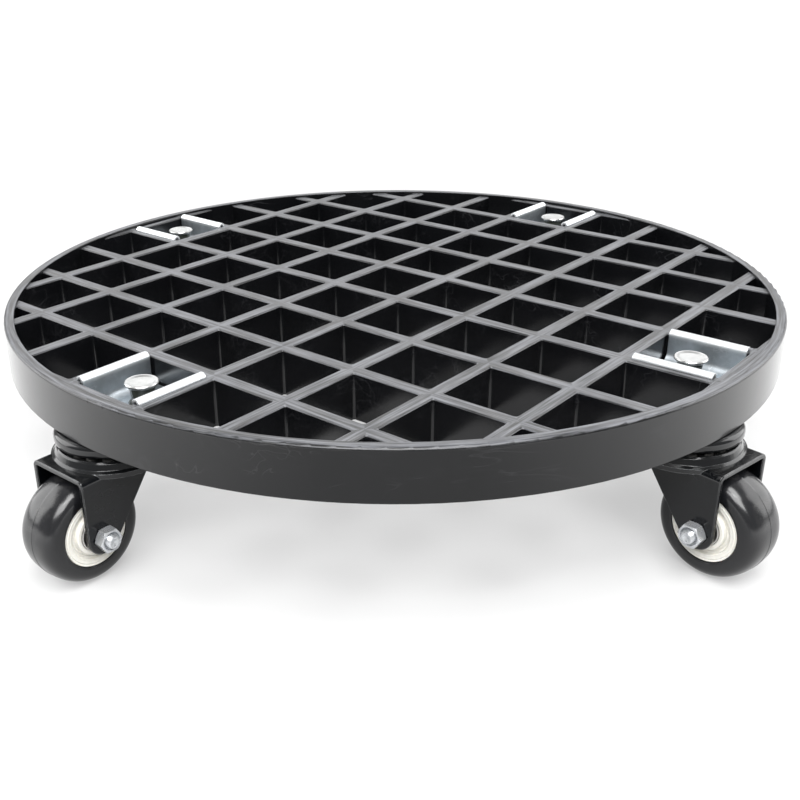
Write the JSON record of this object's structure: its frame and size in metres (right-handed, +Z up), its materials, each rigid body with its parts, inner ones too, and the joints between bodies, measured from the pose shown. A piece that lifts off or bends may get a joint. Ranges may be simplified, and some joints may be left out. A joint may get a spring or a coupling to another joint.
{
  "type": "plant caddy",
  "caption": "Round lattice-topped plant caddy that rolls on four twin-race swivel casters, each tied to the deck by a saddle bracket over the ribs.",
  "frame": {"origin": "On the floor under the centre of the deck, at the bottom centre of the bounding box.", "axes": "+Z up. The ribs of the deck run along X and Y, and a caster place lies near each of +X, -Y, -X and +Y. At rest the casters at +X and -Y trail as in the picture, and the two at the back are those two turned half round."},
  "size_m": [0.4506, 0.45, 0.0912],
  "materials": {
    "deck_plastic": "satin black moulded plastic, fine streaks along the rib tops",
    "zinc_plate": "zinc-plated pressed sheet with a cloudy blue-grey bloom",
    "bright_steel": "satin bright plated head",
    "black_bush": "black moulded bush",
    "black_enamel": "gloss black enamel on pressed steel",
    "zinc_fastener": "zinc-plated nut and bolt",
    "plain_steel": "plain ground steel",
    "black_rubber": "smooth satin black tread with a faint parting line",
    "cream_plastic": "cream moulded core"
  },
  "bodies": {
    "deck_body": {"deck": "deck_plastic", "bracket_rivets": "bright_steel", "rivet_bushes": "black_bush", "saddle_bracket_front_right": "zinc_plate", "mount_plate_front_right": "black_enamel", "upper_race_front_right": "black_enamel", "kingpin_front_right": "plain_steel", "saddle_bracket_front_left": "zinc_plate", "mount_plate_front_left": "black_enamel", "upper_race_front_left": "black_enamel", "kingpin_front_left": "plain_steel", "saddle_bracket_back_left": "zinc_plate", "mount_plate_back_left": "black_enamel", "upper_race_back_left": "black_enamel", "kingpin_back_left": "plain_steel", "saddle_bracket_back_right": "zinc_plate", "mount_plate_back_right": "black_enamel", "upper_race_back_right": "black_enamel", "kingpin_back_right": "plain_steel"},
    "swivel_front_right": {"fork_front_right": "black_enamel", "swivel_balls_front_right": "plain_steel", "axle_bolt_front_right": "zinc_fastener", "axle_nut_front_right": "zinc_fastener", "axle_sleeve_front_right": "plain_steel"},
    "wheel_front_right": {"tread_front_right": "black_rubber", "wheel_core_front_right": "cream_plastic", "wheel_bearings_front_right": "plain_steel"},
    "swivel_front_left": {"fork_front_left": "black_enamel", "swivel_balls_front_left": "plain_steel", "axle_bolt_front_left": "zinc_fastener", "axle_nut_front_left": "zinc_fastener", "axle_sleeve_front_left": "plain_steel"},
    "wheel_front_left": {"tread_front_left": "black_rubber", "wheel_core_front_left": "cream_plastic", "wheel_bearings_front_left": "plain_steel"},
    "swivel_back_left": {"fork_back_left": "black_enamel", "swivel_balls_back_left": "plain_steel", "axle_bolt_back_left": "zinc_fastener", "axle_nut_back_left": "zinc_fastener", "axle_sleeve_back_left": "plain_steel"},
    "wheel_back_left": {"tread_back_left": "black_rubber", "wheel_core_back_left": "cream_plastic", "wheel_bearings_back_left": "plain_steel"},
    "swivel_back_right": {"fork_back_right": "black_enamel", "swivel_balls_back_right": "plain_steel", "axle_bolt_back_right": "zinc_fastener", "axle_nut_back_right": "zinc_fastener", "axle_sleeve_back_right": "plain_steel"},
    "wheel_back_right": {"tread_back_right": "black_rubber", "wheel_core_back_right": "cream_plastic", "wheel_bearings_back_right": "plain_steel"}
  },
  "joints": [
    {"name": "swivel_turn_front_right", "type": "hinge", "parent": "deck_body", "child": "swivel_front_right", "pos_m": [0.1775, -0.0155, 0.06], "axis": [0, 0, 1], "continuous": true},
    {"name": "wheel_roll_front_right", "type": "hinge", "parent": "swivel_front_right", "child": "wheel_front_right", "pos_m": [0.19966, -0.01941, 0.025], "axis": [0.1736, 0.9848, 0], "continuous": true},
    {"name": "swivel_turn_front_left", "type": "hinge", "parent": "deck_body", "child": "swivel_front_left", "pos_m": [-0.0155, -0.1775, 0.06], "axis": [0, 0, 1], "continuous": true},
    {"name": "wheel_roll_front_left", "type": "hinge", "parent": "swivel_front_left", "child": "wheel_front_left", "pos_m": [-0.0155, -0.2, 0.025], "axis": [1, 0, 0], "continuous": true},
    {"name": "swivel_turn_back_left", "type": "hinge", "parent": "deck_body", "child": "swivel_back_left", "pos_m": [-0.1775, 0.0155, 0.06], "axis": [0, 0, 1], "continuous": true},
    {"name": "wheel_roll_back_left", "type": "hinge", "parent": "swivel_back_left", "child": "wheel_back_left", "pos_m": [-0.19966, 0.01941, 0.025], "axis": [-0.1736, -0.9848, 0], "continuous": true},
    {"name": "swivel_turn_back_right", "type": "hinge", "parent": "deck_body", "child": "swivel_back_right", "pos_m": [0.0155, 0.1775, 0.06], "axis": [0, 0, 1], "continuous": true},
    {"name": "wheel_roll_back_right", "type": "hinge", "parent": "swivel_back_right", "child": "wheel_back_right", "pos_m": [0.0155, 0.2, 0.025], "axis": [-1, 0, 0], "continuous": true}
  ]
}
